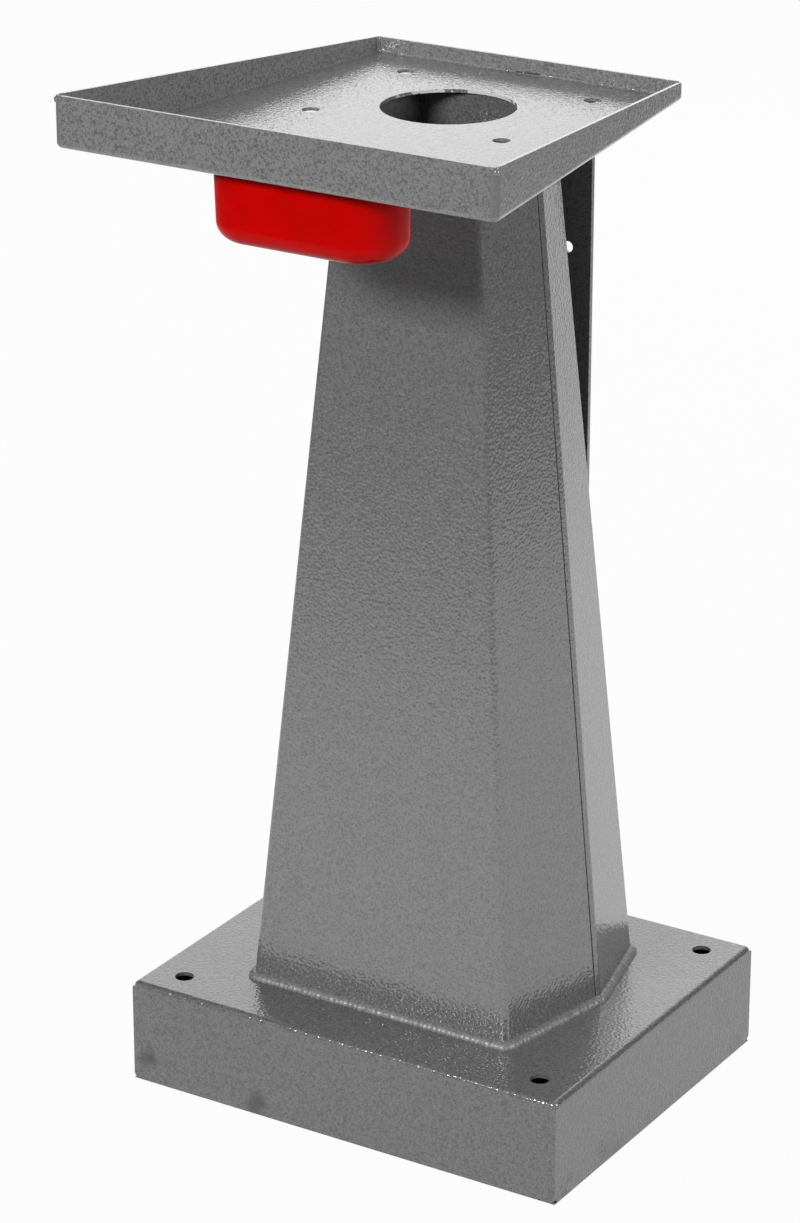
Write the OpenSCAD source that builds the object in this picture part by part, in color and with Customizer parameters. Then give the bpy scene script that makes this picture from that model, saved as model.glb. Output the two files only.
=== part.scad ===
// Bench grinder stand: a folded base pan, a tapered column of two folded shells,
// a flat rear plate, a folded tray that carries the grinder and a lift-out water cup.
// Millimetres, +Z up, +X to the right of someone who works at the tall front rim.

/* [Base pan] */
// Width of the base, left to right
base_w = 380; // [340:1:440]
// Depth of the base, front to back
base_d = 310; // [270:1:360]
// Height of the base pan
base_h = 84; // [60:1:110]
// Sheet thickness of the base pan
base_t = 3; // [2:0.1:4]
// Outer radius of the base pan's folds
base_bend_r = 4.5; // [4.1:0.1:8]
// Rounding of the flange corners at the floor
base_flange_corner_r = 5; // [2:0.5:8]
// Floor anchor hole spacing, left to right
anchor_spacing_x = 320; // [290:1:324]
// Floor anchor hole spacing, front to back
anchor_spacing_y = 254; // [220:1:256]
// Floor anchor hole diameter
anchor_hole_d = 15; // [9:0.5:18]
// Width of the side flange's tab round the front right corner
base_tab_w = 13; // [10:0.5:20]
// Width of the nick between that tab and the front flange
base_nick_d = 2.6; // [1:0.2:5]

/* [Column] */
// Height of the column from the base to the tray
column_h = 687.5; // [560:0.5:800]
// Sheet thickness of the column
column_t = 3; // [1.5:0.1:3.5]
// Outer radius of the column's folds
column_bend_r = 5; // [4:0.5:8]
// Width of the column's front face at the base
foot_front_w = 229; // [200:1:240]
// Depth of the column at the base
foot_d = 197; // [180:1:210]
// Width of the column's front face under the tray
head_front_w = 113; // [105:1:130]
// Depth of the column under the tray
head_d = 109.5; // [107:0.5:114]
// Angle at which the front shell's sides spread backwards
front_flare = 10.65; // [6:0.05:13]
// Angle at which the rear shell's sides draw in again
rear_flare = 13.9; // [8:0.1:16]
// Distance of the column's widest line behind its middle
widest_y = 10; // [0:1:20]
// Width of the rear shell's lip beside the seam
seam_lip_w = 5; // [3:0.5:8]
// Width of the seam between the two shells
seam_gap_w = 1.2; // [0.6:0.1:2]
// Depth at which the seam's weld lies below the surface
seam_recess = 0.9; // [0.3:0.1:1.2]

/* [Rear plate] */
// Width of the rear plate
plate_w = 130; // [100:1:150]
// Thickness of the rear plate
plate_t = 4; // [3:0.5:6]
// Spacing of the rear plate's two holes
plate_hole_spacing = 90; // [60:1:94]
// Diameter of the rear plate's holes
plate_hole_d = 8.5; // [5:0.5:10]
// Distance of those holes below the tray
plate_hole_drop = 121; // [60:1:200]

/* [Tray] */
// Width of the tray's flat floor along its front fold
tray_floor_front_w = 350.5; // [310:0.5:390]
// Width of the tray's flat floor along its back fold
tray_floor_back_w = 255.5; // [222:0.5:290]
// Depth of the tray, front to back
tray_d = 348; // [335:1:360]
// How far the tray reaches out past the base at the front
tray_overhang = 80.5; // [70:0.5:90]
// Sheet thickness of the tray
tray_t = 2.5; // [1.5:0.1:3.5]
// Outer radius of the tray's folds
tray_bend_r = 4.5; // [4:0.1:8]
// Height of the front rim over the tray's underside
front_rim_h = 38.5; // [25:0.5:50]
// Height of the back rim over the tray's underside
back_rim_h = 14.5; // [12:0.5:25]
// Rounding of the rims' top corners
rim_corner_r = 2.5; // [1:0.5:5]
// Diameter of the hole over the column
cord_hole_d = 100; // [60:1:102]
// Grinder bolt spacing, left to right
bolt_spacing_x = 160; // [150:1:180]
// Grinder bolt spacing, front to back
bolt_spacing_y = 130; // [110:1:140]
// Distance of the bolt pattern's centre behind the hole's centre
bolt_shift_y = 5; // [0:1:10]
// Diameter of the grinder bolt holes
bolt_hole_d = 13; // [8:0.5:14]

/* [Water cup] */
// Width of the cup where it passes the tray
cup_w = 150; // [120:1:180]
// Depth of the cup, front to back, where it passes the tray
cup_d = 70; // [69:1:84]
// Height of the cup below its lip
cup_h = 60; // [45:1:90]
// Wall thickness of the cup
cup_t = 2; // [1.5:0.1:3]
// Corner radius of the cup
cup_corner_r = 33; // [20:0.5:33.5]
// Rounding of the cup's bottom edge
cup_bottom_r = 14.5; // [6:0.5:18]
// Slope of the cup's walls
cup_draft = 1.74; // [0:0.05:3]
// How far the lip reaches over the tray
cup_lip_w = 7; // [5:0.5:9]
// Thickness of the lip
cup_lip_t = 2.5; // [1.5:0.1:4]
// Distance of the cup's front behind the tray's front
cup_setback = 20; // [15:1:30]
// Play between the cup and the edge of its cut-out
cup_play = 1; // [0.5:0.1:2]
// Rest clearance under the lip
cup_seat_gap = 0.3; // [0.1:0.1:0.5]

/* [Welds] */
// Radius of the bead round the column's foot and head
column_bead_r = 4; // [2.5:0.5:6]
// Radius of the beads along the rear plate's ends
plate_bead_r = 3.5; // [2:0.5:5]
// Depth at which the tray's corner welds end below the rims
corner_weld_drop = 1.5; // [0.5:0.5:4]

/* [Hidden] */
$fn = 48;
// Overrun of every cut
overrun = 1;
// Straight steps in the outline of one fold
fold_steps = 6;
// Width of the flat strip that every fold laps with the floor of its sheet
strip_w = 0.6;
// Length by which a fold stops short of its corners, where the weld takes over
fold_stop = 0.3;
// Straight steps across one weld bead
bead_steps = 4;
// Heights of the tray's underside and floor
tray_z = base_h + column_h;
tray_floor_z = tray_z + tray_t;
// The tray's front and back edges, measured from the middle of the base
tray_front_y = -base_d / 2 - tray_overhang;
tray_back_y = tray_front_y + tray_d;
// Places along the side where the two shells end beside the seam
front_shell_end_y = widest_y - seam_lip_w - seam_gap_w;
rear_shell_end_y = widest_y - seam_lip_w;
// Front face of the rear plate, flush with the back of the column's foot
plate_front_y = foot_d / 2;
// Middle of the cup in its cut-out
cup_y = tray_front_y + cup_setback + cup_d / 2;
cup_cutout_w = cup_w + 2 * cup_play;
cup_cutout_d = cup_d + 2 * cup_play;
cup_cutout_r = cup_corner_r + cup_play;
// Corners of the flat part of the tray's floor and of the base's top, counter-clockwise
// from the front left
tray_floor = [
    [-tray_floor_front_w / 2, tray_front_y + tray_bend_r],
    [tray_floor_front_w / 2, tray_front_y + tray_bend_r],
    [tray_floor_back_w / 2, tray_back_y - tray_bend_r],
    [-tray_floor_back_w / 2, tray_back_y - tray_bend_r]
];
base_top = [
    [base_bend_r - base_w / 2, base_bend_r - base_d / 2],
    [base_w / 2 - base_bend_r, base_bend_r - base_d / 2],
    [base_w / 2 - base_bend_r, base_d / 2 - base_bend_r],
    [base_bend_r - base_w / 2, base_d / 2 - base_bend_r]
];
tray_rim_heights = [front_rim_h, front_rim_h, back_rim_h, back_rim_h];
base_flange_heights = [base_h, base_h, base_h, base_h];

// Points and outlines

function mix(a, b, share) = a + (b - a) * share;

function unit(angle) = [cos(angle), sin(angle)];

function heading(a, b) = atan2(b[1] - a[1], b[0] - a[0]);

function reversed(points) = [for (i = [len(points) - 1:-1:0]) points[i]];

function mirrored(points) = [for (i = [len(points) - 1:-1:0]) [-points[i][0], points[i][1]]];

// A rounded corner of a counter-clockwise outline, between two headings
function fold(p, heading_in, heading_out, r) =
    let (
        back = r * tan((heading_out - heading_in) / 2),
        centre = p - back * unit(heading_in) + r * unit(heading_in + 90)
    )
    [for (i = [0:fold_steps])
        centre + r * unit(mix(heading_in, heading_out, i / fold_steps) - 90)];

// Headings of the edges that reach and leave corner i of a closed outline
function heading_in(outline, i) =
    heading(outline[(i + len(outline) - 1) % len(outline)], outline[i]);

function heading_out(outline, i) =
    heading(outline[i], outline[(i + 1) % len(outline)]);

// The turn at corner i, taken between 0 and 180 degrees
function turn(outline, i) =
    (heading_out(outline, i) - heading_in(outline, i) + 360) % 360;

// The point inside corner i at one depth from both of its edges
function inner_point(outline, i, depth) =
    outline[i]
    + depth * (unit(heading_out(outline, i)) - unit(heading_in(outline, i))) / sin(turn(outline, i));

// The column's sections; share is 0 at the foot and 1 at the head, inset is the depth
// below the outer surface

function face_half_w(share) = mix(foot_front_w, head_front_w, share) / 2;

function face_y(share) = mix(foot_d, head_d, share) / 2;

function front_side_x(share, y, inset) =
    face_half_w(share) + (y + face_y(share)) * tan(front_flare) - inset / cos(front_flare);

function rear_side_x(share, y, inset) =
    front_side_x(share, widest_y, 0) - (y - widest_y) * tan(rear_flare) - inset / cos(rear_flare);

// Where the inset lines of the front and rear sides meet
function widest_inset_y(inset) =
    widest_y
    + inset * (1 / cos(front_flare) - 1 / cos(rear_flare)) / (tan(front_flare) + tan(rear_flare));

function front_fold(share, inset) =
    let (y = inset - face_y(share))
    fold([front_side_x(share, y, inset), y], 0, 90 - front_flare, column_bend_r - inset);

function side_fold(share, inset) =
    let (y = widest_inset_y(inset))
    fold([front_side_x(share, y, inset), y], 90 - front_flare, 90 + rear_flare, column_bend_r - inset);

function rear_fold(share, inset) =
    let (y = face_y(share) - inset)
    fold([rear_side_x(share, y, inset), y], 90 + rear_flare, 180, column_bend_r - inset);

// The whole outline, shrunk by the inset or grown where it is negative
function column_section(share, inset) =
    let (right = concat(
        front_fold(share, inset),
        side_fold(share, inset),
        rear_fold(share, inset)
    ))
    concat(right, mirrored(right));

// The outlines of a bead round the column, from the free face over the round to the column
function bead_sections(share, z, rise) = concat(
    [[for (p = column_section(share, 0)) [p[0], p[1], z]]],
    [for (i = [0:bead_steps])
        let (
            angle = 90 * i / bead_steps,
            up = rise * sin(angle),
            out = abs(rise) * cos(angle)
        )
        [for (p = column_section(share + up / column_h, -out)) [p[0], p[1], z + up]]]
);

// Radius of the cup's corner at one height over its seat
function cup_wall_r(z, inset) = cup_corner_r + z * tan(cup_draft) - inset / cos(cup_draft);

// Forms

// A solid between two horizontal sections with as many points
module loft(low, low_z, high, high_z) {
    n = len(low);
    points = concat([for (p = low) [p[0], p[1], low_z]], [for (p = high) [p[0], p[1], high_z]]);
    sides = [for (i = [0:n - 1]) let (j = (i + 1) % n) [i, n + i, n + j, j]];
    polyhedron(points, concat([[for (i = [0:n - 1]) i]], [[for (i = [2 * n - 1:-1:n]) i]], sides));
}

// A closed ring through outlines that all have as many points
module ring_loft(rows) {
    n = len(rows[0]);
    points = [for (row = rows) for (p = row) p];
    polyhedron(points, [
        for (k = [0:len(rows) - 1])
            for (i = [0:n - 1])
                let (a = k * n, b = (k + 1) % len(rows) * n, j = (i + 1) % n)
                [a + i, b + i, b + j, a + j]
    ]);
}

// The column as a solid, inset from its outer surface and with an overrun past both ends
module column_core(inset, past) {
    share = past / column_h;
    loft(column_section(-share, inset), base_h - past, column_section(1 + share, inset), tray_z + past);
}

// What the column keeps of a slab between two distances from its middle
module column_slab(inset, from_y, to_y) {
    difference() {
        intersection() {
            column_core(inset, 0);
            translate([-base_w / 2, from_y, base_h]) cube([base_w, to_y - from_y, column_h]);
        }
        column_core(column_t, overrun);
    }
}

// The section of a fold: a quarter of a ring with its outer surface on both axes, and
// the sheet above it up to the given height
module fold_profile(r, t, height) {
    difference() {
        intersection() {
            translate([r, r]) circle(r);
            square(r);
        }
        translate([r, r]) circle(r - t);
    }
    if (height > r) translate([0, r]) square([t, height - r]);
}

// One upright wall: its ends lie at start and end, its top rises from height_a at 0 to
// height_b at run, and its two free corners are round
module rim_wall(run, start, end, low, height_a, height_b, corner_r, t) {
    slope = atan2(height_b - height_a, run);
    outline = concat(
        [[start, low], [end, low]],
        fold([end, mix(height_a, height_b, end / run)], 90, 180 + slope, corner_r),
        fold([start, mix(height_a, height_b, start / run)], 180 + slope, 270, corner_r)
    );
    translate([0, t, 0]) rotate([90, 0, 0]) linear_extrude(t) polygon(outline);
}

// A flat sheet with a wall folded up along each of its four edges; the walls end at the
// corner welds, or run through over them, the first and third outside the others
module folded_sheet(flat, heights, t, r, corner_r, runs_through) {
    last = len(flat) - 1;
    linear_extrude(t) polygon([for (i = [0:last]) inner_point(flat, i, strip_w / 2)]);
    for (i = [0:last]) {
        next = (i + 1) % len(flat);
        run = norm(flat[next] - flat[i]);
        lap = i % 2 == 0 ? r : r - t / 2;
        past = runs_through ? lap : -fold_stop;
        translate([flat[i][0], flat[i][1], 0]) rotate(heading_out(flat, i)) {
            translate([strip_w, 0, 0]) cube([run - 2 * strip_w, strip_w, t]);
            translate([0, -r, 0]) {
                translate([fold_stop, 0, 0]) rotate([90, 0, 90])
                    linear_extrude(run - 2 * fold_stop) fold_profile(r, t, 0);
                rim_wall(run, -past, run + past, r, heights[i], heights[next], corner_r, t);
            }
        }
    }
}

// The round weld that closes a folded corner
module corner_weld(flat, i, t, r, height) {
    past = asin(fold_stop / r);
    translate([flat[i][0], flat[i][1], 0]) rotate(heading_in(flat, i) - 90 - past)
        rotate_extrude(angle = turn(flat, i) + 2 * past)
            mirror([1, 0]) translate([-r, 0]) fold_profile(r, t, height);
}

// A block with round upright edges
module round_block(w, d, h, r) {
    translate([r - w / 2, -d / 2, 0]) cube([w - 2 * r, d, h]);
    translate([-w / 2, r - d / 2, 0]) cube([w, d - 2 * r, h]);
    for (x = [-1, 1]) {
        for (y = [-1, 1]) {
            translate([x * (w / 2 - r), y * (d / 2 - r), 0]) cylinder(h = h, r = r);
        }
    }
}

// Four holes on the corners of a rectangle
module hole_rectangle(spacing_x, spacing_y, d, z, depth) {
    for (x = [-1, 1]) {
        for (y = [-1, 1]) {
            translate([x * spacing_x / 2, y * spacing_y / 2, z - overrun])
                cylinder(h = depth + 2 * overrun, d = d);
        }
    }
}

module plate_block() {
    translate([-plate_w / 2, plate_front_y, base_h]) cube([plate_w, plate_t, column_h]);
}

// Half of an upright section through the cup's outside, or through its hollow at an inset
module cup_area(inset, low, high) {
    r = cup_bottom_r - inset;
    wall_low = cup_wall_r(low + r, inset);
    x = wall_low - r / cos(cup_draft);
    touch = [x + r * cos(cup_draft), low + r - r * sin(cup_draft)];
    polygon([[0, low], [x, low], touch, [cup_wall_r(high, inset), high], [0, high]]);
    intersection() {
        translate([x, low + r]) circle(r);
        translate([x, low]) square(r);
    }
}

// Half of an upright section through the cup, with its lip at the height 0
module cup_profile() {
    lip_x = cup_corner_r + cup_lip_w - cup_lip_t / 2;
    difference() {
        union() {
            cup_area(0, -cup_h, 0);
            square([lip_x, cup_lip_t]);
            translate([lip_x, cup_lip_t / 2]) circle(d = cup_lip_t);
        }
        cup_area(cup_t, cup_t - cup_h, cup_lip_t + overrun);
    }
}

// Sub-parts

module base_pan() {
    color([0.5, 0.5, 0.5]) difference() {
        translate([0, 0, base_h]) mirror([0, 0, 1])
            folded_sheet(
                base_top, base_flange_heights, base_t, base_bend_r, base_flange_corner_r, true
            );
        hole_rectangle(anchor_spacing_x, anchor_spacing_y, anchor_hole_d, base_h - base_t, base_t);
        translate([base_w / 2 - base_tab_w, -base_d / 2 - overrun, 0]) rotate([-90, 0, 0])
            cylinder(h = base_t + 2 * overrun, d = base_nick_d);
    }
}

module base_corner_welds() {
    color([0.6, 0.6, 0.6]) translate([0, 0, base_h]) mirror([0, 0, 1]) {
        for (i = [0:3]) {
            corner_weld(base_top, i, base_t, base_bend_r, 0);
        }
    }
}

module column_front_shell() {
    color([0.5, 0.5, 0.5]) column_slab(0, -base_d / 2, front_shell_end_y);
}

module column_rear_shell() {
    color([0.62, 0.62, 0.62]) column_slab(0, rear_shell_end_y, base_d / 2);
}

module column_seam_welds() {
    color([0.4, 0.4, 0.4]) column_slab(seam_recess, front_shell_end_y, rear_shell_end_y);
}

module column_foot_weld() {
    color([0.6, 0.6, 0.6]) difference() {
        ring_loft(bead_sections(0, base_h, column_bead_r));
        plate_block();
    }
}

module column_head_weld() {
    color([0.6, 0.6, 0.6])
        ring_loft(reversed(bead_sections(1, tray_z, -column_bead_r)));
}

module rear_plate() {
    color([0.3, 0.3, 0.3]) difference() {
        plate_block();
        for (x = [-1, 1]) {
            translate([x * plate_hole_spacing / 2, plate_front_y - overrun, tray_z - plate_hole_drop])
                rotate([-90, 0, 0]) cylinder(h = plate_t + 2 * overrun, d = plate_hole_d);
        }
    }
}

module rear_plate_welds() {
    back_y = plate_front_y + plate_t;
    color([0.6, 0.6, 0.6]) for (z = [base_h, tray_z]) {
        intersection() {
            translate([-plate_w / 2, back_y, z]) rotate([0, 90, 0]) cylinder(h = plate_w, r = plate_bead_r);
            translate([-plate_w / 2, back_y, z == base_h ? z : z - plate_bead_r])
                cube([plate_w, plate_bead_r, plate_bead_r]);
        }
    }
}

module grinder_tray() {
    color([0.55, 0.55, 0.55]) difference() {
        translate([0, 0, tray_z])
            folded_sheet(tray_floor, tray_rim_heights, tray_t, tray_bend_r, rim_corner_r, false);
        translate([0, 0, tray_z - overrun]) cylinder(h = tray_t + 2 * overrun, d = cord_hole_d);
        translate([0, bolt_shift_y, 0])
            hole_rectangle(bolt_spacing_x, bolt_spacing_y, bolt_hole_d, tray_z, tray_t);
        translate([0, cup_y, tray_z - overrun])
            round_block(cup_cutout_w, cup_cutout_d, tray_t + 2 * overrun, cup_cutout_r);
    }
}

module tray_corner_welds() {
    color([0.6, 0.6, 0.6]) translate([0, 0, tray_z]) {
        for (i = [0:3]) {
            corner_weld(tray_floor, i, tray_t, tray_bend_r, tray_rim_heights[i] - corner_weld_drop);
        }
    }
}

module water_cup() {
    long = cup_w - 2 * cup_corner_r;
    short = cup_d - 2 * cup_corner_r;
    color([0.75, 0.02, 0.02]) translate([0, cup_y, tray_floor_z + cup_seat_gap]) {
        translate([-long / 2, -short / 2, -cup_h]) cube([long, short, cup_t]);
        for (side = [0, 180]) {
            rotate(side) {
                translate([long / 2, short / 2, 0]) rotate_extrude(angle = 90) cup_profile();
                translate([-long / 2, short / 2, 0]) rotate(90) rotate_extrude(angle = 90) cup_profile();
                translate([-long / 2, short / 2, 0]) rotate([90, 0, 90]) linear_extrude(long) cup_profile();
                translate([long / 2, short / 2, 0]) rotate([90, 0, 0]) linear_extrude(short) cup_profile();
            }
        }
    }
}

base_pan();
base_corner_welds();
column_front_shell();
column_rear_shell();
column_seam_welds();
column_foot_weld();
column_head_weld();
rear_plate();
rear_plate_welds();
grinder_tray();
tray_corner_welds();
water_cup();
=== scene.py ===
import logging
import math
from dataclasses import dataclass, replace
from enum import Enum

import bmesh
import bpy
from mathutils import Matrix, Vector, noise
from mathutils.geometry import convex_hull_2d


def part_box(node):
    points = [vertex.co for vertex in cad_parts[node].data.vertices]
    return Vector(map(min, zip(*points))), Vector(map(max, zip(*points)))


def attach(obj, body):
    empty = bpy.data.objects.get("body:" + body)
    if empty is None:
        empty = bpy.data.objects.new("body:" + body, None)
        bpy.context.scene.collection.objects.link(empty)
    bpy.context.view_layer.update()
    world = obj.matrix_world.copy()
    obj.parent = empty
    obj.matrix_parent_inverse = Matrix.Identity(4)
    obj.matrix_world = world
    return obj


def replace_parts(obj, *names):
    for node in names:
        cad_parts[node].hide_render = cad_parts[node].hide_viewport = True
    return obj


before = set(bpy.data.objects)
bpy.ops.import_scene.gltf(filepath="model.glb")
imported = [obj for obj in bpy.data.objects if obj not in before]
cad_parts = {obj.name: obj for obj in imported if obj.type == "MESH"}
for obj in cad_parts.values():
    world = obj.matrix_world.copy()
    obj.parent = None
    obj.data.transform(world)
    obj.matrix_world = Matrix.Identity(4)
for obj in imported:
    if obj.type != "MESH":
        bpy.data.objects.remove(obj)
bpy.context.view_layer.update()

log = logging.getLogger("grinder_stand")
MM = 0.001

Socket = bpy.types.NodeSocket
Sockets = dict[str, Socket]
Colour = tuple[float, float, float, float]
Point = tuple[float, float, float]
Span = tuple[float, float]

BLACK: Colour = (0.0, 0.0, 0.0, 1.0)
WHITE: Colour = (1.0, 1.0, 1.0, 1.0)


class Slot(Enum):
    """The name of a material slot for the added pieces, which nothing in the script gives them."""

    WELD = "painted_weld"


class Body(Enum):
    """The bodies that the added pieces ride on."""

    STAND = "stand"


class Lean(Enum):
    """The side of a sheet that a bead lies on, as the turn of its depth about its path, in degrees."""

    ON_SHEET = 135.0
    UNDER_SHEET = -135.0


class Tree:
    """A node tree that nodes are placed in and joined in, one call each."""

    def __init__(self, tree: bpy.types.NodeTree) -> None:
        """Takes an empty node tree."""
        self.tree = tree

    def put(self, kind: str, ins: dict | None = None, **settings: object) -> bpy.types.Node:
        """Places one node.

        Args:
            kind: the node's type without its ShaderNode prefix.
            ins: what each input takes, a value or another node's output, by input name or number.
            settings: the node's own properties.

        Returns:
            The node.
        """
        node = self.tree.nodes.new(kind if kind.startswith("NodeGroup") else "ShaderNode" + kind)
        for key, value in settings.items():
            setattr(node, key, value)
        for key, value in (ins or {}).items():
            self.feed(node.inputs[key], value)
        return node

    def feed(self, socket: Socket, value: object) -> None:
        """Gives an input what it reads.

        Args:
            socket: the input.
            value: an output to join it to, or a value of its own.
        """
        if isinstance(value, bpy.types.NodeSocket):
            self.tree.links.new(value, socket)
        else:
            socket.default_value = value

    def maths(self, operation: str, a: object, b: object = 0.0, clamp: bool = False) -> Socket:
        """Places a Math node and returns its output."""
        return self.put("Math", {0: a, 1: b}, operation=operation, use_clamp=clamp).outputs[0]

    def ramp(self, value: object, start: float, stop: float) -> Socket:
        """Returns 0 at start and 1 at stop, smooth in between."""
        return self.put("MapRange", {"Value": value, "From Min": start, "From Max": stop},
                        interpolation_type="SMOOTHSTEP").outputs["Result"]

    def blend(self, share: object, a: object, b: object) -> Socket:
        """Mixes two colours.

        Args:
            share: the second colour's share.
            a: the first colour.
            b: the second colour.

        Returns:
            The mixed colour.
        """
        node = self.put("Mix", data_type="RGBA")
        for name, value in (("Factor_Float", share), ("A_Color", a), ("B_Color", b)):
            self.feed(next(s for s in node.inputs if s.identifier == name), value)
        return next(s for s in node.outputs if s.identifier == "Result_Color")

    def tint(self, mask: object, share: float, under: object, over: object) -> Socket:
        """Lays a colour over another by a share of a mask."""
        return self.blend(self.maths("MULTIPLY", mask, share), under, over)


def near_line(book: Tree, a: Point, b: Point, width: float, core: float = 0.35) -> Socket:
    """Masks what lies near a line.

    Args:
        book: the tree.
        a: the line's first end.
        b: its other end.
        width: the distance at which the mask has fallen to 0, in metres.
        core: the share of that distance up to which the mask is 1.

    Returns:
        The mask.
    """
    place = book.put("TexCoord").outputs["Object"]
    along = Vector(b) - Vector(a)
    out = book.put("VectorMath", {0: place, 1: a}, operation="SUBTRACT").outputs[0]
    reach = book.put("VectorMath", {0: out, 1: tuple(along / along.length_squared)},
                     operation="DOT_PRODUCT").outputs["Value"]
    held = book.maths("ADD", reach, 0.0, clamp=True)
    foot = book.put("VectorMath", {0: tuple(along), "Scale": held}, operation="SCALE").outputs[0]
    gap = book.put("VectorMath", {0: out, 1: foot}, operation="DISTANCE").outputs["Value"]
    return book.ramp(gap, width, core * width)


def near_point(book: Tree, centre: Point, radius: float, core: float = 0.3) -> Socket:
    """Masks what lies near a point.

    Args:
        book: the tree.
        centre: the point.
        radius: the distance at which the mask has fallen to 0, in metres.
        core: the share of that distance up to which the mask is 1.

    Returns:
        The mask.
    """
    place = book.put("TexCoord").outputs["Object"]
    gap = book.put("VectorMath", {0: place, 1: centre}, operation="DISTANCE").outputs["Value"]
    return book.ramp(gap, radius, core * radius)


def new_group(name: str, ins: dict[str, float], outs: list[str]) -> tuple[Tree, Sockets, Sockets]:
    """Starts a shader node group whose sockets are all values.

    Args:
        name: the group's name.
        ins: its inputs and their first values.
        outs: its outputs.

    Returns:
        The group's tree, its inputs as sockets to read and its outputs as sockets to feed.
    """
    tree = bpy.data.node_groups.new(name, "ShaderNodeTree")
    for key, value in ins.items():
        socket = tree.interface.new_socket(key, in_out="INPUT", socket_type="NodeSocketFloat")
        socket.default_value = value
    for key in outs:
        tree.interface.new_socket(key, in_out="OUTPUT", socket_type="NodeSocketFloat")
    book = Tree(tree)
    reads = book.put("NodeGroupInput").outputs
    feeds = book.put("NodeGroupOutput").inputs
    return book, {k: reads[k] for k in ins}, {k: feeds[k] for k in outs}


def blank_material(name: str) -> tuple[bpy.types.Material, Tree]:
    """Makes a material with an empty node tree.

    Args:
        name: the material's name.

    Returns:
        The material and its tree.
    """
    material = bpy.data.materials.new(name)
    material.use_nodes = True
    material.node_tree.nodes.clear()
    return material, Tree(material.node_tree)


def hammer_grain() -> None:
    """Builds the group for hammer paint's mottle: dark worm-like pools, pale flakes and their dimples."""
    pool_edge, flake_edge = (0.58, 0.34), (0.52, 0.74)
    flake_pitch, flake_height, flake_shift = 1.7, 0.35, (0.31, 0.17, 0.53)
    book, ins, outs = new_group("hammer_grain", {"Pitch": 300.0, "Worm": 0.8}, ["Dark", "Pale", "Height"])
    place = book.put("TexCoord").outputs["Object"]
    pools = book.put("TexNoise", {"Vector": place, "Scale": ins["Pitch"], "Detail": 2.0, "Roughness": 0.6,
                                  "Distortion": ins["Worm"]}).outputs["Fac"]
    shifted = book.put("VectorMath", {0: place, 1: flake_shift}, operation="ADD").outputs[0]
    finer = book.maths("MULTIPLY", ins["Pitch"], flake_pitch)
    flakes = book.put("TexNoise", {"Vector": shifted, "Scale": finer, "Detail": 1.0}).outputs["Fac"]
    book.feed(outs["Dark"], book.ramp(pools, *pool_edge))
    book.feed(outs["Pale"], book.ramp(flakes, *flake_edge))
    book.feed(outs["Height"], book.maths("ADD", pools, book.maths("MULTIPLY", flakes, flake_height)))


def sheet_marks() -> None:
    """Builds the group for a painted sheet's broad smudges from handling and its own slow waves."""
    smudge_edge, wave_pitch = (0.60, 0.74), 0.6
    book, ins, outs = new_group("sheet_marks", {"Spread": 14.0}, ["Smudge", "Wave"])
    place = book.put("TexCoord").outputs["Object"]
    broad = book.put("TexNoise", {"Vector": place, "Scale": ins["Spread"], "Detail": 4.0, "Roughness": 0.55,
                                  "Distortion": 0.4}).outputs["Fac"]
    slow = book.put("TexNoise", {"Vector": place, "Scale": book.maths("MULTIPLY", ins["Spread"], wave_pitch),
                                 "Detail": 1.0}).outputs["Fac"]
    book.feed(outs["Smudge"], book.ramp(broad, *smudge_edge))
    book.feed(outs["Wave"], slow)


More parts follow.
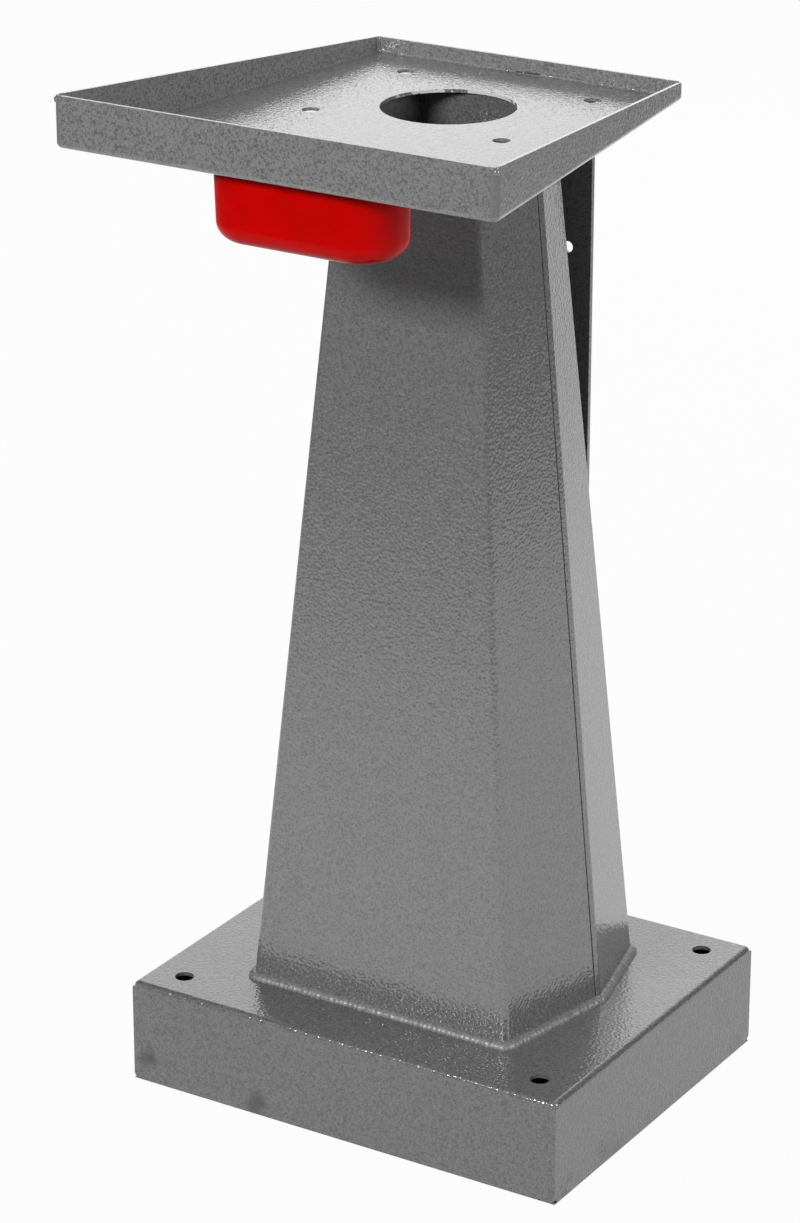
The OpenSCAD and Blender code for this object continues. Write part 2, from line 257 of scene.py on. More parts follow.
@dataclass(frozen=True)
class HammerPaint:
    """Grey hammer paint on steel.

    Args:
        name: the material's name.
        grey: the paint's linear grey between its pools.
        pool: what the dark pools leave of it, as a share.
        flake: how much brighter the pale flakes are, as a share.
        pitch: the grain's scale, per metre.
        metal: how much of a metal it is.
        rough: its roughness between the pools.
        pool_rough: how much rougher the pools are.
        shine: the specular level under the clear coat.
        dimple: the depth of its dimples, in metres.
        peel: the depth of the clear coat's own unevenness, in metres.
        peel_pitch: that unevenness's scale, per metre.
        coat: the clear coat's index of refraction.
        coat_rough: the clear coat's roughness.
        wave: the depth of the sheet's waves, in metres.
        smudge: what the smudges take from the grey, as a share.
    """

    name: str
    grey: float = 0.20
    pool: float = 0.58
    flake: float = 0.05
    pitch: float = 520.0
    metal: float = 0.16
    rough: float = 0.36
    pool_rough: float = 0.05
    shine: float = 0.1
    dimple: float = 0.05 * MM
    peel: float = 0.24 * MM
    peel_pitch: float = 430.0
    coat: float = 1.75
    coat_rough: float = 0.05
    wave: float = 0.6 * MM
    smudge: float = 0.06

    def build(self) -> bpy.types.Material:
        """Makes the material.

        Returns:
            The material.
        """
        material, book = blank_material(self.name)
        grain = book.put("Group", node_tree=bpy.data.node_groups["hammer_grain"])
        grain.inputs["Pitch"].default_value = self.pitch
        dark = grain.outputs["Dark"]
        marks = book.put("Group", node_tree=bpy.data.node_groups["sheet_marks"])
        colour = book.tint(dark, 1.0 - self.pool, (self.grey,) * 3 + (1.0,), BLACK)
        colour = book.tint(grain.outputs["Pale"], self.flake, colour, WHITE)
        colour = book.tint(marks.outputs["Smudge"], self.smudge, colour, BLACK)
        height = book.maths("ADD", book.maths("MULTIPLY", grain.outputs["Height"], self.dimple / MM),
                            book.maths("MULTIPLY", marks.outputs["Wave"], self.wave / MM))
        skin = book.put("TexNoise", {"Vector": book.put("TexCoord").outputs["Object"],
                                     "Scale": self.peel_pitch, "Detail": 0.0}).outputs["Fac"]
        bump = book.put("Bump", {"Height": height, "Distance": MM, "Strength": 1.0}).outputs[0]
        peel = book.put("Bump", {"Height": skin, "Distance": self.peel, "Strength": 1.0}).outputs[0]
        shader = book.put("BsdfPrincipled", {
            "Base Color": self.wear(book, colour),
            "Metallic": self.metal,
            "Roughness": book.maths("ADD", book.maths("MULTIPLY", dark, self.pool_rough), self.rough),
            "Specular IOR Level": self.shine,
            "Normal": bump,
            "Coat Weight": 1.0,
            "Coat Roughness": self.coat_rough,
            "Coat IOR": self.coat,
            "Coat Normal": peel})
        book.put("OutputMaterial", {"Surface": shader.outputs[0]})
        return material

    def wear(self, book: Tree, colour: Socket) -> Socket:
        """Adds what this piece's use has left on the colour. Plain paint has nothing."""
        return colour


@dataclass(frozen=True)
class Mark:
    """A dark mark along a line.

    Args:
        start: its first end, in metres.
        stop: its other end, in metres.
        width: how far it reaches to each side, in metres.
        share: how much of the paint it hides.
    """

    start: Point
    stop: Point
    width: float
    share: float


@dataclass(frozen=True)
class TrayPaint(HammerPaint):
    """The tray's paint, chipped round its hole and scratched on its floor.

    Args:
        hole_radius: the round hole's radius, in metres.
        floor_z: the height of the tray's floor, in metres.
        marks: three scratches and a dot on the floor, and a mark at the back rim.
        dirt: the marks' colour.
        chip_edge: where the chips round the hole's edge start and are full, as distances from it, in metres.
        chip_side: where they start and are full from front to back, as shares of the hole's radius.
        chip_pitch: their scale, per metre.
        chip_cut: the noise from which the paint is gone, and where it is all gone.
        bare: the colour of the chips.
    """

    hole_radius: float = 50 * MM
    floor_z: float = 774 * MM
    marks: tuple[Mark, ...] = (
        Mark((-10 * MM, -57.1 * MM, floor_z), (13.3 * MM, -55.4 * MM, floor_z), 1.1 * MM, 0.75),
        Mark((36.6 * MM, -69.3 * MM, floor_z), (59.5 * MM, -46.5 * MM, floor_z), 1.3 * MM, 0.18),
        Mark((59.5 * MM, -46.5 * MM, floor_z), (69.5 * MM, -3.2 * MM, floor_z), 1.3 * MM, 0.18),
        Mark((80.3 * MM, 35.1 * MM, floor_z), (80.5 * MM, 35.1 * MM, floor_z), 1.3 * MM, 0.8),
        Mark((-8 * MM, 110 * MM, 774.9 * MM), (12 * MM, 110 * MM, 775.4 * MM), 0.9 * MM, 0.9))
    dirt: Colour = (0.03, 0.03, 0.03, 1.0)
    chip_edge: Span = (0.45 * MM, 0.25 * MM)
    chip_side: Span = (-0.2, 0.3)
    chip_pitch: float = 90.0
    chip_cut: Span = (0.47, 0.51)
    bare: Colour = (0.80, 0.80, 0.80, 1.0)

    def wear(self, book: Tree, colour: Socket) -> Socket:
        """Adds the marks, and the chips on the far edge of the hole.

        Args:
            book: the material's tree.
            colour: the paint's colour.

        Returns:
            The worn colour.
        """
        for mark in self.marks:
            shape = near_line(book, mark.start, mark.stop, mark.width)
            colour = book.tint(shape, mark.share, colour, self.dirt)
        place = book.put("TexCoord").outputs["Object"]
        flat = book.put("VectorMath", {0: place, 1: (1.0, 1.0, 0.0)}, operation="MULTIPLY").outputs[0]
        reach = book.put("VectorMath", {0: flat}, operation="LENGTH").outputs["Value"]
        gap = book.maths("ABSOLUTE", book.maths("SUBTRACT", reach, self.hole_radius))
        start, stop = (share * self.hole_radius for share in self.chip_side)
        far = book.ramp(book.put("SeparateXYZ", {0: place}).outputs["Y"], start, stop)
        flakes = book.put("TexNoise", {"Vector": place, "Scale": self.chip_pitch, "Detail": 3.0,
                                       "Roughness": 0.6}).outputs["Fac"]
        where = book.maths("MULTIPLY", book.ramp(gap, *self.chip_edge), far)
        return book.blend(book.maths("MULTIPLY", where, book.ramp(flakes, *self.chip_cut)), colour, self.bare)


@dataclass(frozen=True)
class ShellPaint(HammerPaint):
    """The column's paint, with specks of bare filler on the inside of its back.

    Args:
        specks_at: the middle of the specks.
        specks_reach: how far they spread, in metres.
        facing: how far a surface looks to the front where they start and are full, as a cosine.
        behind: where they start and are full from front to back, in metres.
        dot_pitch: their scale, per metre.
        dot_cut: the noise from which there is a dot, and where it is full.
        filler: their colour.
    """

    specks_at: Point = (4 * MM, 42 * MM, 744 * MM)
    specks_reach: float = 24 * MM
    facing: Span = (0.3, 0.6)
    behind: Span = (0.0, 20 * MM)
    dot_pitch: float = 620.0
    dot_cut: Span = (0.69, 0.72)
    filler: Colour = (0.85, 0.85, 0.85, 1.0)

    def wear(self, book: Tree, colour: Socket) -> Socket:
        """Adds the specks, only where the surface looks to the front from inside.

        Args:
            book: the material's tree.
            colour: the paint's colour.

        Returns:
            The worn colour.
        """
        looks = book.put("VectorMath", {0: book.put("NewGeometry").outputs["Normal"], 1: (0.0, -1.0, 0.0)},
                         operation="DOT_PRODUCT").outputs["Value"]
        place = book.put("TexCoord").outputs["Object"]
        back = book.ramp(book.put("SeparateXYZ", {0: place}).outputs["Y"], *self.behind)
        inside = book.maths("MULTIPLY", back, book.ramp(looks, *self.facing))
        where = book.maths("MULTIPLY", near_point(book, self.specks_at, self.specks_reach), inside)
        dots = book.put("TexNoise", {"Vector": place, "Scale": self.dot_pitch, "Detail": 0.0}).outputs["Fac"]
        return book.blend(book.maths("MULTIPLY", where, book.ramp(dots, *self.dot_cut)), colour, self.filler)


@dataclass(frozen=True)
class FlangePaint(HammerPaint):
    """The base's paint, scuffed dark along the foot of its flanges.

    Args:
        scuffs: each scuff's middle and how far it spreads, in metres.
        torn_pitch: the scale of their torn edges, per metre.
        torn_cut: the noise where a scuff starts and where it is full.
        share: how much of the paint they hide.
        dirt: their colour.
    """

    scuffs: tuple[tuple[Point, float], ...] = (
        ((-75 * MM, -155 * MM, 8 * MM), 16 * MM), ((190 * MM, -75 * MM, -3 * MM), 34 * MM),
        ((190 * MM, -8 * MM, 0.0), 24 * MM), ((190 * MM, 132 * MM, 8 * MM), 14 * MM),
        ((190 * MM, -140 * MM, 4 * MM), 20 * MM), ((-178 * MM, -155 * MM, 22 * MM), 15 * MM))
    torn_pitch: float = 75.0
    torn_cut: Span = (0.34, 0.62)
    share: float = 0.6
    dirt: Colour = (0.02, 0.02, 0.02, 1.0)

    def wear(self, book: Tree, colour: Socket) -> Socket:
        """Adds the scuffs.

        Args:
            book: the material's tree.
            colour: the paint's colour.

        Returns:
            The worn colour.
        """
        cloud = book.put("TexNoise", {"Vector": book.put("TexCoord").outputs["Object"],
                                      "Scale": self.torn_pitch, "Detail": 4.0}).outputs["Fac"]
        torn = book.ramp(cloud, *self.torn_cut)
        for centre, radius in self.scuffs:
            shape = book.maths("MULTIPLY", near_point(book, centre, radius), torn)
            colour = book.tint(shape, self.share, colour, self.dirt)
        return colour


@dataclass(frozen=True)
class MouldedPlastic:
    """Glossy moulded plastic with faint clouds and a slightly uneven skin.

    Args:
        name: the material's name.
        colour: its colour.
        shade: what the clouds leave of that colour, as a share.
        cloud_pitch: the clouds' scale, per metre.
        cloud_cut: the noise where a cloud starts and where it is full.
        rough: its roughness.
        cloud_rough: how much rougher the clouds are.
        shine: its specular level.
        skin_pitch: the scale of the skin's unevenness, per metre.
        skin_depth: the depth of that unevenness, in metres.
    """

    name: str
    colour: Colour = (0.64, 0.0, 0.0, 1.0)
    shade: float = 0.86
    cloud_pitch: float = 30.0
    cloud_cut: Span = (0.4, 0.65)
    rough: float = 0.02
    cloud_rough: float = 0.04
    shine: float = 0.08
    skin_pitch: float = 60.0
    skin_depth: float = 0.25 * MM

    def build(self) -> bpy.types.Material:
        """Makes the material.

        Returns:
            The material.
        """
        material, book = blank_material(self.name)
        place = book.put("TexCoord").outputs["Object"]
        cloud = book.put("TexNoise", {"Vector": place, "Scale": self.cloud_pitch,
                                      "Detail": 3.0}).outputs["Fac"]
        skin = book.put("TexNoise", {"Vector": place, "Scale": self.skin_pitch, "Detail": 1.0}).outputs["Fac"]
        bump = book.put("Bump", {"Height": skin, "Distance": self.skin_depth, "Strength": 1.0}).outputs[0]
        darker = tuple(self.shade * c for c in self.colour[:3]) + (1.0,)
        shader = book.put("BsdfPrincipled", {
            "Base Color": book.blend(book.ramp(cloud, *self.cloud_cut), self.colour, darker),
            "Roughness": book.maths("ADD", book.maths("MULTIPLY", cloud, self.cloud_rough), self.rough),
            "Specular IOR Level": self.shine,
            "Normal": bump})
        book.put("OutputMaterial", {"Surface": shader.outputs[0]})
        return material


Finish = HammerPaint | MouldedPlastic


def material_of(finish: Finish) -> bpy.types.Material:
    """Returns a finish's material, which is built once and then shared."""
    return bpy.data.materials.get(finish.name) or finish.build()


def cover(node: str, finish: Finish) -> None:
    """Gives a CAD node a finish in every material slot.

    Args:
        node: the CAD node's name.
        finish: the finish.
    """
    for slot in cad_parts[node].material_slots:
        slot.material = material_of(finish)
    log.info("%s wears %s", node, finish.name)


def place_piece(name: str, bm: bmesh.types.BMesh, finish: HammerPaint) -> bpy.types.Object:
    """Makes a smooth, painted piece of the stand from a mesh.

    Args:
        name: the piece's name.
        bm: the mesh, which is used up.
        finish: the piece's paint.

    Returns:
        The piece.
    """
    for face in bm.faces:
        face.smooth = True
    mesh = bpy.data.meshes.new(name)
    bm.to_mesh(mesh)
    bm.free()
    mesh.materials.append(material_of(finish))
    piece = bpy.data.objects.new(name, mesh)
    bpy.context.scene.collection.objects.link(piece)
    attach(piece, Body.STAND.value)
    log.info("%s is laid", name)
    return piece


@dataclass(frozen=True)
class SheetEdge:
    """The softened edges of cut sheet metal under paint.

    Args:
        radius: the edge's radius, in metres.
        sharp: the angle from which an edge is rounded, in degrees.
        steps: the segments of the rounding.
        joined: the distance up to which loose corners are one, in metres.
    """

    radius: float = 0.45 * MM
    sharp: float = 40.0
    steps: int = 2
    joined: float = 0.001 * MM

    def soften(self, node: str) -> None:
        """Joins the loose faces of a CAD node and rounds its sharp edges, by modifiers.

        Args:
            node: the CAD node's name.
        """
        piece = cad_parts[node]
        weld = piece.modifiers.new("joined", "WELD")
        weld.merge_threshold = self.joined
        bevel = piece.modifiers.new("edge", "BEVEL")
        bevel.width, bevel.segments = self.radius, self.steps
        bevel.limit_method, bevel.angle_limit = "ANGLE", math.radians(self.sharp)
        bevel.use_clamp_overlap = True
        bevel.harden_normals = False
        even = piece.modifiers.new("shading", "WEIGHTED_NORMAL")
        even.keep_sharp = False


@dataclass(frozen=True)
class Bead:
    """A weld bead: rings set along a path and joined into a flattened, rippled tube.

    Args:
        radius: half its width, in metres.
        flat: half its depth, as a share of that.
        lean: the side of a sheet that it lies on.
        ripple: how far its ripples change its size, as a share.
        pace: the length of one ripple, in metres.
        lumps: the height of its lumps, in metres.
        lump_size: the size of its lumps, in metres.
        sides: the sides of its ring.
        step: the distance from ring to ring, in metres.
    """

    radius: float = 4.6 * MM
    flat: float = 0.65
    lean: Lean = Lean.ON_SHEET
    ripple: float = 0.03
    pace: float = 4.2 * MM
    lumps: float = 0.6 * MM
    lump_size: float = 2.4 * MM
    sides: int = 12
    step: float = 1.1 * MM

    def even(self, corners: list[Vector], closed: bool) -> list[Vector]:
        """Sets points at even steps along a line.

        Args:
            corners: the line's corners.
            closed: whether it ends where it starts.

        Returns:
            The points, with every corner among them.
        """
        ends = corners[1:] + corners[:1] if closed else corners[1:]
        path = []
        for a, b in zip(corners, ends):
            count = max(1, round((b - a).length / self.step))
            path += [a.lerp(b, k / count) for k in range(count)]
        return path if closed else path + [corners[-1]]

    def rings(self, path: list[Vector], closed: bool) -> list[Matrix]:
        """Works out where each ring stands, how it is turned and how large it is.

        Args:
            path: the rings' middles.
            closed: whether the path ends where it starts.

        Returns:
            What moves a circle of radius 1 to each ring.
        """
        tilt = Matrix.Rotation(math.radians(self.lean.value), 4, "Z")
        squash = tilt @ Matrix.Scale(self.flat, 4, (1.0, 0.0, 0.0))
        moves, run = [], 0.0
        for i, point in enumerate(path):
            before = path[i - 1] if closed or i else point
            after = path[(i + 1) % len(path)] if closed or i < len(path) - 1 else point
            run += (point - before).length if i else 0.0
            wave = self.ripple * math.sin(2 * math.pi * run / self.pace)
            size = self.radius * (1 + wave) + self.lumps * noise.noise(point / self.lump_size)
            turn = (after - before).to_track_quat("Z", "Y").to_matrix().to_4x4()
            moves.append(Matrix.Translation(point) @ turn @ squash @ Matrix.Scale(size, 4))
        return moves

    def lay(self, name: str, corners: list[Vector], closed: bool, finish: HammerPaint) -> bpy.types.Object:
        """Lays the bead on the stand.

        Args:
            name: the piece's name.
            corners: the corners of its path.
            closed: whether the path ends where it starts.
            finish: its paint.

        Returns:
            The piece.
        """
        bm = bmesh.new()
        for move in self.rings(self.even(corners, closed), closed):
            bmesh.ops.create_circle(bm, segments=self.sides, radius=1.0, matrix=move)
        edges = list(bm.edges)
        rings = [edges[k:k + self.sides] for k in range(0, len(edges), self.sides)]
        for old, new in zip(rings, rings[1:] + rings[:1] if closed else rings[1:]):
            bmesh.ops.bridge_loops(bm, edges=old + new)
        if not closed:
            for ring in (rings[0], rings[-1]):
                bmesh.ops.contextual_create(bm, geom=ring)
        bmesh.ops.recalc_face_normals(bm, faces=bm.faces)
        return place_piece(name, bm, finish)


@dataclass
class BasePan:
    """The folded pan that stands on the floor, with the welds up its corners."""

    paint: HammerPaint = FlangePaint("base_paint", grey=0.172, coat=1.65, peel=0.36 * MM)
    weld: HammerPaint = HammerPaint("base_weld_paint", pool=0.8)

    def dress(self) -> None:
        """Paints the pan and its corner welds."""
        cover("base_pan", self.paint)
        SheetEdge().soften("base_pan")
        cover("base_corner_welds", self.weld)


@dataclass
class Column:
    """The two folded shells of the column and the beads at its foot and head.

    Args:
        paint: the shells' paint.
        weld: the paint of the seams and the beads.
        bead: the bead.
        offset: how far the bead's middle lies from the column and from the sheet it meets, in metres.
        hang: how far it hangs under the column's head instead, as a multiple of that.
        clear: how far the foot's bead stays off the rear plate, in metres.
        level: how far a corner of the shells may be off the height it is looked for at, in metres.
    """

    paint: HammerPaint = ShellPaint("column_paint", grey=0.185, coat=1.95)
    # The beads and seams have the column's hammer paint. Their grey of 0.25 sits above the column's 0.185 and
    # is partly painted light for the lit band along the beads.
    weld: HammerPaint = HammerPaint("bead_paint_with_painted_light", grey=0.25, pool=0.6, peel=0.34 * MM, peel_pitch=620.0,
                                    coat=1.4, coat_rough=0.46)
    bead: Bead = Bead()
    offset: float = 1.3 * MM
    hang: float = 2.5
    clear: float = 1.0 * MM
    level: float = 0.05 * MM

    def outline(self, z: float, height: float) -> list[Vector]:
        """Works out the path of a bead round the column.

        Args:
            z: the height where the column meets a sheet.
            height: the height of the path.

        Returns:
            The corners of the column's outline there, moved outwards by the offset.
        """
        flat = [v.co.to_2d() for node in ("column_front_shell", "column_rear_shell")
                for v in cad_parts[node].data.vertices if abs(v.co.z - z) < self.level]
        ring = [flat[i] for i in convex_hull_2d(flat)]
        if sum(a.cross(b) for a, b in zip(ring, ring[1:] + ring[:1])) < 0:
            ring.reverse()
        around = zip(ring[-1:] + ring[:-1], ring, ring[1:] + ring[:1])
        moved = [b + self.offset * Vector(((c - a).y, -(c - a).x)).normalized() for a, b, c in around]
        return [Vector((p.x, p.y, height)) for p in moved]

    def at_plate(self, points: list[Vector]) -> list[bool]:
        """Tells of each point of the foot's outline whether it lies where the rear plate stands."""
        low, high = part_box("rear_plate")
        return [p.y >= low.y - self.clear and abs(p.x) <= high.x + self.clear for p in points]

    def lay_beads(self) -> None:
        """Lays the beads at the foot, up to the rear plate on both sides, and round the head."""
        foot_z, head_z = (corner.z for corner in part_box("column_front_shell"))
        foot = self.bead.even(self.outline(foot_z, foot_z + self.offset), True)
        shut = self.at_plate(foot)
        start = next(i for i, here in enumerate(shut) if shut[i - 1] and not here)
        line = [foot[i] for i in (*range(start, len(foot)), *range(start)) if not shut[i]]
        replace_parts(self.bead.lay("foot_bead", line, False, self.weld), "column_foot_weld")
        head = self.outline(head_z, head_z - self.hang * self.offset)
        under = replace(self.bead, lean=Lean.UNDER_SHEET)
        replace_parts(under.lay("head_bead", head, True, self.weld), "column_head_weld")

    def dress(self) -> None:
        """Paints the shells, the seams and the beads."""
        for node in ("column_front_shell", "column_rear_shell"):
            cover(node, self.paint)
            SheetEdge().soften(node)
        for node in ("column_seam_welds", "column_foot_weld", "column_head_weld"):
            cover(node, self.weld)
        self.lay_beads()


@dataclass
class RearPlate:
    """The upright plate behind the column."""

    # The plate has the column's hammer paint. Its grey of 0.26 sits above the column's 0.185 as painted
    # light, which brightens the plate's shaded face.
    paint: HammerPaint = HammerPaint("plate_paint_with_painted_light", grey=0.26)
    weld: HammerPaint = HammerPaint("plate_weld_paint", pool=0.8)

    def dress(self) -> None:
        """Paints the plate and its beads."""
        cover("rear_plate", self.paint)
        SheetEdge().soften("rear_plate")
        cover("rear_plate_welds", self.weld)


@dataclass
class GrinderTray:
    """The rimmed tray that carries the grinder.

    Args:
        paint: the tray's paint.
        weld: the paint of its corner welds.
        cap: the small weld over the gap between the rims.
        floor_front: the width of the flat floor along its front fold, in metres.
        floor_back: that width along its back fold.
        bend: the outer radius of the folds, in metres.
        back_rim: the back rim's height over the tray's underside, in metres.
        fold: the distance from the floor's corner to the middle of the rims' sheet, in metres.
        overlap: how far a cap runs on along each rim, in metres.
        arc_steps: the steps of a cap round its corner.
        spatter: the drops of weld, each with its middle and its radius, in metres.
    """

    paint: HammerPaint = TrayPaint("tray_paint", grey=0.26, pool=0.5, metal=0.10)
    weld: HammerPaint = HammerPaint("tray_weld_paint", grey=0.22, pool=0.9, peel=0.12 * MM)
    cap: Bead = Bead(radius=1.2 * MM, flat=1.0, ripple=0.0, lumps=0.06 * MM, step=0.5 * MM)
    floor_front: float = 350.5 * MM
    floor_back: float = 255.5 * MM
    bend: float = 4.5 * MM
    back_rim: float = 14.5 * MM
    fold: float = 3.25 * MM
    overlap: float = 4.0 * MM
    arc_steps: int = 6
    spatter: tuple[tuple[Point, float], ...] = (
        ((-113.6 * MM, 108.9 * MM, 775.0 * MM), 1.0 * MM), ((-14.5 * MM, 108.9 * MM, 775.0 * MM), 0.9 * MM),
        ((-10.0 * MM, 108.4 * MM, 774.5 * MM), 0.7 * MM),
        ((177.9 * MM, -232.5 * MM, 806.4 * MM), 2.9 * MM), ((-177.9 * MM, -232.5 * MM, 806.4 * MM), 2.9 * MM))

    def cap_corners(self) -> None:
        """Lays a small round weld over the gap between the rims at each corner."""
        low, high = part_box("grinder_tray")
        front_top, back_top = high.z, low.z + self.back_rim
        front_y, back_y = low.y + self.bend, high.y - self.bend
        corners = [Vector((side * width / 2, y, top - self.cap.radius - self.cap.lumps))
                   for side, width, y, top in ((-1, self.floor_front, front_y, front_top),
                                               (1, self.floor_front, front_y, front_top),
                                               (1, self.floor_back, back_y, back_top),
                                               (-1, self.floor_back, back_y, back_top))]
        for i, corner in enumerate(corners):
            into, away = (Vector((*(b - a).xy, 0.0)).normalized()
                          for a, b in ((corners[i - 1], corner), (corner, corners[(i + 1) % len(corners)])))
            out_a, out_b = (Vector((d.y, -d.x, 0.0)) for d in (into, away))
            arc = [self.fold * out_a.slerp(out_b, k / self.arc_steps) for k in range(self.arc_steps + 1)]
            line = [arc[0] - self.overlap * into] + arc + [arc[-1] + self.overlap * away]
            self.cap.lay(f"tray_corner_cap_{i + 1}", [corner + p for p in line], False, self.weld)

    def spatter_drops(self) -> None:
        """Leaves a few drops of weld along the back fold and one on each front corner."""
        bm = bmesh.new()
        for centre, radius in self.spatter:
            bmesh.ops.create_icosphere(bm, subdivisions=2, radius=radius, matrix=Matrix.Translation(centre))
        place_piece("tray_spatter", bm, self.weld)

    def dress(self) -> None:
        """Paints the tray and its corner welds, and adds the caps and the drops."""
        cover("grinder_tray", self.paint)
        SheetEdge().soften("grinder_tray")
        cover("tray_corner_welds", self.weld)
        self.cap_corners()
        self.spatter_drops()


@dataclass
class WaterCup:
    """The red cup that hangs in the tray's front."""

    plastic: MouldedPlastic = MouldedPlastic("cup_plastic")

    def dress(self) -> None:
        """Gives the cup its plastic."""
        cover("water_cup", self.plastic)


@dataclass(frozen=True)
class SoftBox:
    """A rectangular lamp that the camera doesn't see.

    Args:
        name: the lamp's name.
        at: where it hangs, in metres.
        size: its width and height, in metres.
        bright: its radiance, where 1 is white.
        aim: the point it looks at, in metres.
        mirrored: whether reflections show it.
    """

    name: str
    at: Point
    size: Span
    bright: float
    aim: Point
    mirrored: bool = True

    def hang(self) -> None:
        """Hangs the lamp."""
        data = bpy.data.lights.new(self.name, "AREA")
        data.shape = "RECTANGLE"
        data.size, data.size_y = self.size
        data.energy = self.bright * math.pi * data.size * data.size_y
        lamp = bpy.data.objects.new(self.name, data)
        lamp.location = self.at
        lamp.rotation_euler = (Vector(self.aim) - Vector(self.at)).to_track_quat("-Z", "Y").to_euler()
        lamp.visible_camera = False
        lamp.visible_glossy = self.mirrored
        bpy.context.scene.collection.objects.link(lamp)


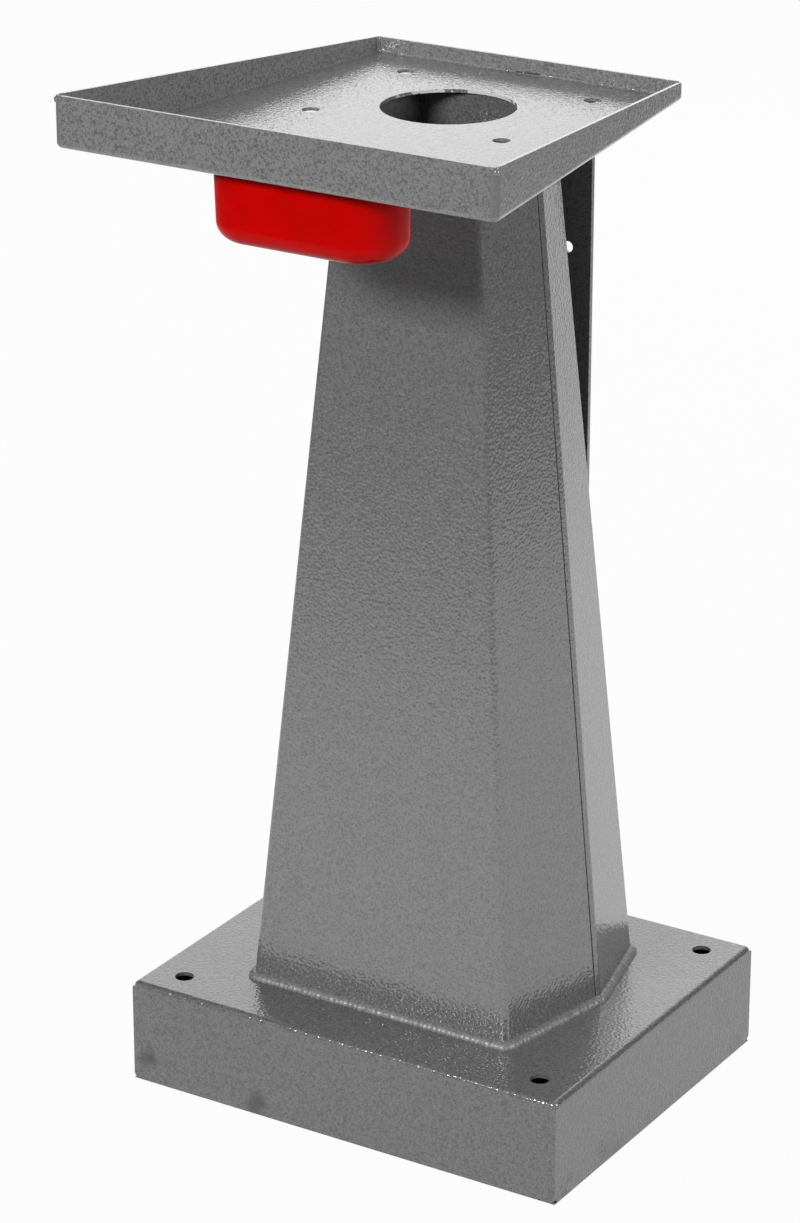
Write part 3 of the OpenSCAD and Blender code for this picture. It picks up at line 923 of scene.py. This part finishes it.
@dataclass
class Studio:
    """The pale floor, the white surroundings, the lamps and the camera.

    Args:
        floor_size: the floor's width and depth, in metres.
        floor_colour: its colour as the lamps light it.
        floor_white: how much of it shows as plain white, as a share.
        floor_middle: the middle of the white floor that reflections see, in metres.
        floor_bright: how far from there that white has ended and how far it is full, in metres.
        floor_mirrored: how much of the white floor reflections see, as a share.
        backdrop_at: the direction of the bright backdrop from the object.
        backdrop_edge: where it starts and is full, as cosines of the angle from that direction.
        world_white: the strength of the surroundings to the eye.
        world_light: their strength as a light.
        lamps: the lamps.
        camera_at: the camera's place, in metres.
        camera_pitch: how far it is tipped up from looking down, in degrees.
        camera_turn: how far it is turned about the vertical, in degrees.
        lens: its focal length, in millimetres.
        sensor: its sensor's width, in millimetres.
    """

    floor_size: float = 24.0
    floor_colour: Colour = (0.28, 0.28, 0.28, 1.0)
    floor_white: float = 0.97
    floor_middle: Point = (0.3, 0.1, 0.0)
    floor_bright: Span = (2.8, 1.2)
    floor_mirrored: float = 0.85
    backdrop_at: Point = (-0.34, 0.94, 0.0)
    backdrop_edge: Span = (0.83, 0.93)
    world_white: float = 1.0
    world_light: float = 0.10
    lamps: tuple[SoftBox, ...] = (
        SoftBox("key_box", (-2.1, -11.82, 6.8), (5.3, 2.5), 36.0, (0.0, 0.0, 0.4)),
        SoftBox("back_box", (-1.5, 2.4, 1.6), (3.0, 2.0), 0.6, (0.0, 0.0, 0.5)),
        SoftBox("right_box", (2.35, 0.4, 1.4), (1.4, 1.2), 6.4, (0.0, 0.0, 0.6)),
        SoftBox("back_fill", (-0.5, 3.0, 1.5), (2.0, 1.5), 4.0, (0.0, 0.0, 0.5), mirrored=False))
    camera_at: Point = (1.5272, -2.5181, 1.5500)
    camera_pitch: float = 68.345
    camera_turn: float = 31.919
    lens: float = 122.98
    sensor: float = 36.0

    def seen_rays(self, book: Tree, mirrored: Socket) -> Socket:
        """Masks the rays that see the white floor and surroundings.

        Args:
            book: the tree.
            mirrored: what reflections see, from 0 to 1.

        Returns:
            1 for the rays of the camera and of what shows through, and what is mirrored for reflections.
        """
        rays = book.put("LightPath").outputs
        glossy = book.maths("MULTIPLY", rays["Is Glossy Ray"], mirrored)
        either = book.maths("ADD", rays["Is Camera Ray"], glossy)
        return book.maths("ADD", either, rays["Is Transmission Ray"], clamp=True)

    def before_backdrop(self, book: Tree) -> Socket:
        """Masks the side on which a bright backdrop stands, as the object sees it.

        Args:
            book: the tree.

        Returns:
            1 towards the backdrop, and 0 beside it and on the camera's side.
        """
        place = book.put("TexCoord").outputs["Object"]
        flat = book.put("VectorMath", {0: place, 1: (1.0, 1.0, 0.0)}, operation="MULTIPLY").outputs[0]
        heading = book.put("VectorMath", {0: flat}, operation="NORMALIZE").outputs[0]
        towards = book.put("VectorMath", {0: heading, 1: self.backdrop_at},
                           operation="DOT_PRODUCT").outputs["Value"]
        return book.ramp(towards, *self.backdrop_edge)

    def floor_finish(self) -> bpy.types.Material:
        """Makes the floor's material, which is plain grey under the base and white around it.

        Returns:
            The material.
        """
        material, book = blank_material("floor_pale")
        place = book.put("TexCoord").outputs["Object"]
        axes = book.put("SeparateXYZ", {0: place}).outputs
        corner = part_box("base_pan")[1]
        beside = book.maths("GREATER_THAN", book.maths("ABSOLUTE", axes["X"]), corner.x)
        before = book.maths("GREATER_THAN", book.maths("ABSOLUTE", axes["Y"]), corner.y)
        gap = book.put("VectorMath", {0: place, 1: self.floor_middle}, operation="DISTANCE").outputs["Value"]
        bright = book.maths("MAXIMUM", book.ramp(gap, *self.floor_bright), self.before_backdrop(book))
        rays = self.seen_rays(book, book.maths("MULTIPLY", bright, self.floor_mirrored))
        seen = book.maths("MULTIPLY", rays, book.maths("MAXIMUM", beside, before))
        lit = book.put("BsdfDiffuse", {"Color": self.floor_colour}).outputs[0]
        white = book.put("Emission", {"Color": WHITE, "Strength": 1.0}).outputs[0]
        shader = book.put("MixShader", {0: book.maths("MULTIPLY", seen, self.floor_white), 1: lit, 2: white})
        book.put("OutputMaterial", {"Surface": shader.outputs[0]})
        return material

    def floor(self) -> None:
        """Lays the floor."""
        bm = bmesh.new()
        bmesh.ops.create_grid(bm, x_segments=1, y_segments=1, size=self.floor_size / 2)
        mesh = bpy.data.meshes.new("floor")
        bm.to_mesh(mesh)
        bm.free()
        mesh.materials.append(self.floor_finish())
        plane = bpy.data.objects.new("floor", mesh)
        bpy.context.scene.collection.objects.link(plane)

    def surroundings(self) -> None:
        """Makes the world white to the eye and softer as a light."""
        world = bpy.data.worlds.new("studio")
        bpy.context.scene.world = world
        world.use_nodes = True
        world.node_tree.nodes.clear()
        book = Tree(world.node_tree)
        rays = self.seen_rays(book, self.before_backdrop(book))
        strength = book.put("MapRange", {"Value": rays, "To Min": self.world_light,
                                         "To Max": self.world_white}).outputs["Result"]
        back = book.put("Background", {"Color": WHITE, "Strength": strength}).outputs[0]
        book.put("OutputWorld", {"Surface": back})

    def camera(self) -> None:
        """Sets up the camera at the photograph's place."""
        data = bpy.data.cameras.new("camera")
        data.lens, data.sensor_width = self.lens, self.sensor
        camera = bpy.data.objects.new("camera", data)
        camera.location = self.camera_at
        camera.rotation_euler = (math.radians(self.camera_pitch), 0.0, math.radians(self.camera_turn))
        bpy.context.scene.collection.objects.link(camera)
        bpy.context.scene.camera = camera

    def build(self) -> None:
        """Sets up everything round the object."""
        bpy.context.scene.view_settings.view_transform = "Standard"
        self.floor()
        self.surroundings()
        for box in self.lamps:
            box.hang()
        self.camera()
        log.info("studio is lit")


def main() -> None:
    """Dresses the stand and sets up the studio."""
    logging.basicConfig(level=logging.INFO, format="%(name)s: %(message)s")
    hammer_grain()
    sheet_marks()
    for part in (BasePan(), Column(), RearPlate(), GrinderTray(), WaterCup()):
        part.dress()
    Studio().build()


if __name__ == "__main__":
    main()
